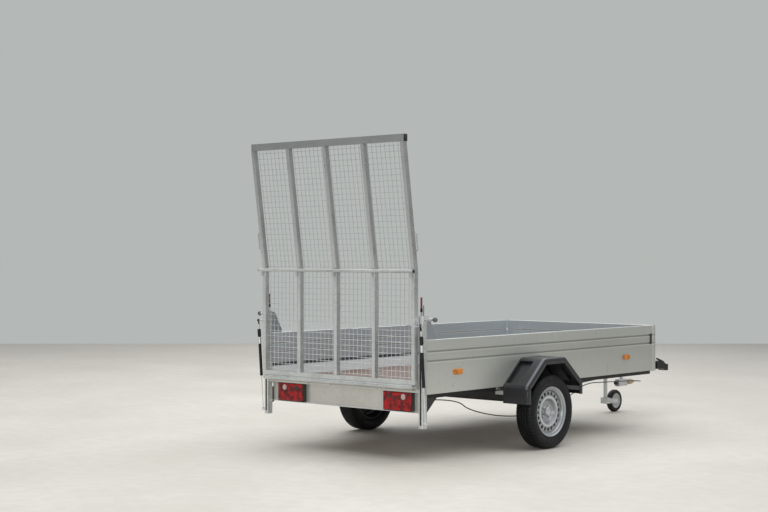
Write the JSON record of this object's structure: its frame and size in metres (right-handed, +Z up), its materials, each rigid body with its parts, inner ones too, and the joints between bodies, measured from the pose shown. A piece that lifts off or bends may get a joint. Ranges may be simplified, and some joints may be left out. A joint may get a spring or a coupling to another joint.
{
  "type": "utility trailer",
  "caption": "Single-axle box trailer with profiled aluminium sides, a kinked mesh loading ramp on gas struts, V drawbar, ball coupling and jockey wheel.",
  "frame": {"origin": "on the ground, midway along the whole length and on the centre line", "axes": "+X to the trailer's right, +Y forwards to the coupling, +Z up"},
  "size_m": [1.98, 4.6556, 2.247],
  "materials": {
    "galvanised": "hot-dip galvanised steel, dull spangle",
    "chassis_dark": "dark coated steel, satin",
    "aluminium_board": "anodised aluminium, satin",
    "plywood": "dark brown film-faced plywood",
    "tyre": "matt black rubber",
    "rim_silver": "silver wheel paint",
    "hub_steel": "zinc-plated steel",
    "black_plastic": "black moulded plastic",
    "lens_red": "red lens plastic",
    "lens_amber": "amber lens plastic",
    "grip_red": "red grip plastic",
    "black_paint": "black paint, satin",
    "strut_rod": "polished rod",
    "cable_rubber": "black cable sheath",
    "plug_plastic": "beige plug plastic",
    "grey_plastic": "grey moulded plastic"
  },
  "bodies": {
    "trailer": {"side_rail_left": "chassis_dark", "side_rail_right": "chassis_dark", "cross_members": "chassis_dark", "deck": "plywood", "wall_left": "aluminium_board", "wall_right": "aluminium_board", "wall_front": "aluminium_board", "front_posts": "aluminium_board", "pillar_left": "galvanised", "pillar_right": "galvanised", "lamp_board": "galvanised", "lamp_housings": "black_plastic", "lamp_lenses": "lens_red", "side_markers": "lens_amber", "latch_levers": "galvanised", "latch_grips": "grip_red", "axle_beam": "galvanised", "swing_arms": "galvanised", "mudguard_left": "black_plastic", "mudguard_right": "black_plastic", "mudguard_stays": "galvanised", "drawbar_beam_left": "chassis_dark", "drawbar_beam_right": "chassis_dark", "drawbar_nose": "chassis_dark", "coupling_head": "black_paint", "jockey_sleeve": "galvanised", "jockey_crank": "galvanised", "plug_holder": "grey_plastic", "plug": "plug_plastic", "cable": "cable_rubber"},
    "wheel_left": {"tyre_left": "tyre", "rim_left": "rim_silver", "hub_left": "hub_steel"},
    "wheel_right": {"tyre_right": "tyre", "rim_right": "rim_silver", "hub_right": "hub_steel"},
    "ramp": {"ramp_base": "galvanised", "ramp_tubes": "galvanised", "ramp_lower_bars": "galvanised", "ramp_upper_bars": "galvanised", "ramp_handles": "galvanised", "mesh_lower_cross": "galvanised", "mesh_lower_long": "galvanised", "mesh_upper_cross": "galvanised", "mesh_upper_long": "galvanised"},
    "strut_tube_left": {"strut_cylinder_left": "black_paint"},
    "strut_tube_right": {"strut_cylinder_right": "black_paint"},
    "strut_shaft_left": {"strut_rod_left": "strut_rod"},
    "strut_shaft_right": {"strut_rod_right": "strut_rod"},
    "jockey_post": {"jockey_leg": "galvanised"},
    "jockey_swivel_fork": {"jockey_fork": "galvanised"},
    "jockey_wheel": {"jockey_tyre": "tyre", "jockey_rim": "grey_plastic"}
  },
  "joints": [
    {"name": "wheel_left_spin", "type": "hinge", "parent": "trailer", "child": "wheel_left", "pos_m": [-0.89, -0.89618, 0.2735], "axis": [1, 0, 0], "continuous": true},
    {"name": "wheel_right_spin", "type": "hinge", "parent": "trailer", "child": "wheel_right", "pos_m": [0.89, -0.89618, 0.2735], "axis": [1, 0, 0], "continuous": true},
    {"name": "ramp_hinge", "type": "hinge", "parent": "trailer", "child": "ramp", "pos_m": [0, -2.19018, 0.522], "axis": [1, 0, 0], "range_deg": [0, 103]},
    {"name": "strut_pivot_left", "type": "hinge", "parent": "ramp", "child": "strut_tube_left", "pos_m": [-0.795, -2.20218, 0.94], "axis": [1, 0, 0], "range_deg": [-35, 0]},
    {"name": "strut_stroke_left", "type": "slide", "parent": "strut_tube_left", "child": "strut_shaft_left", "axis": [0, 0.072, -0.9974], "range_m": [-0.2045, 0]},
    {"name": "strut_pivot_right", "type": "hinge", "parent": "ramp", "child": "strut_tube_right", "pos_m": [0.795, -2.20218, 0.94], "axis": [1, 0, 0], "range_deg": [-35, 0]},
    {"name": "strut_stroke_right", "type": "slide", "parent": "strut_tube_right", "child": "strut_shaft_right", "axis": [0, 0.072, -0.9974], "range_m": [-0.2045, 0]},
    {"name": "jockey_height", "type": "slide", "parent": "trailer", "child": "jockey_post", "axis": [0, 0, 1], "range_m": [-0.05, 0.15]},
    {"name": "jockey_swivel", "type": "hinge", "parent": "jockey_post", "child": "jockey_swivel_fork", "pos_m": [-0.137, 1.49782, 0.11], "axis": [0, 0, 1], "continuous": true},
    {"name": "jockey_spin", "type": "hinge", "parent": "jockey_swivel_fork", "child": "jockey_wheel", "pos_m": [-0.137, 1.64382, 0.1], "axis": [1, 0, 0], "continuous": true}
  ],
  "couplings": [
    {"joint": "strut_pivot_left", "follows": "ramp_hinge", "ratio": -0.33891},
    {"joint": "strut_stroke_left", "follows": "ramp_hinge", "m_per_rad": -0.1135},
    {"joint": "strut_pivot_right", "follows": "ramp_hinge", "ratio": -0.33891},
    {"joint": "strut_stroke_right", "follows": "ramp_hinge", "m_per_rad": -0.1135}
  ]
}
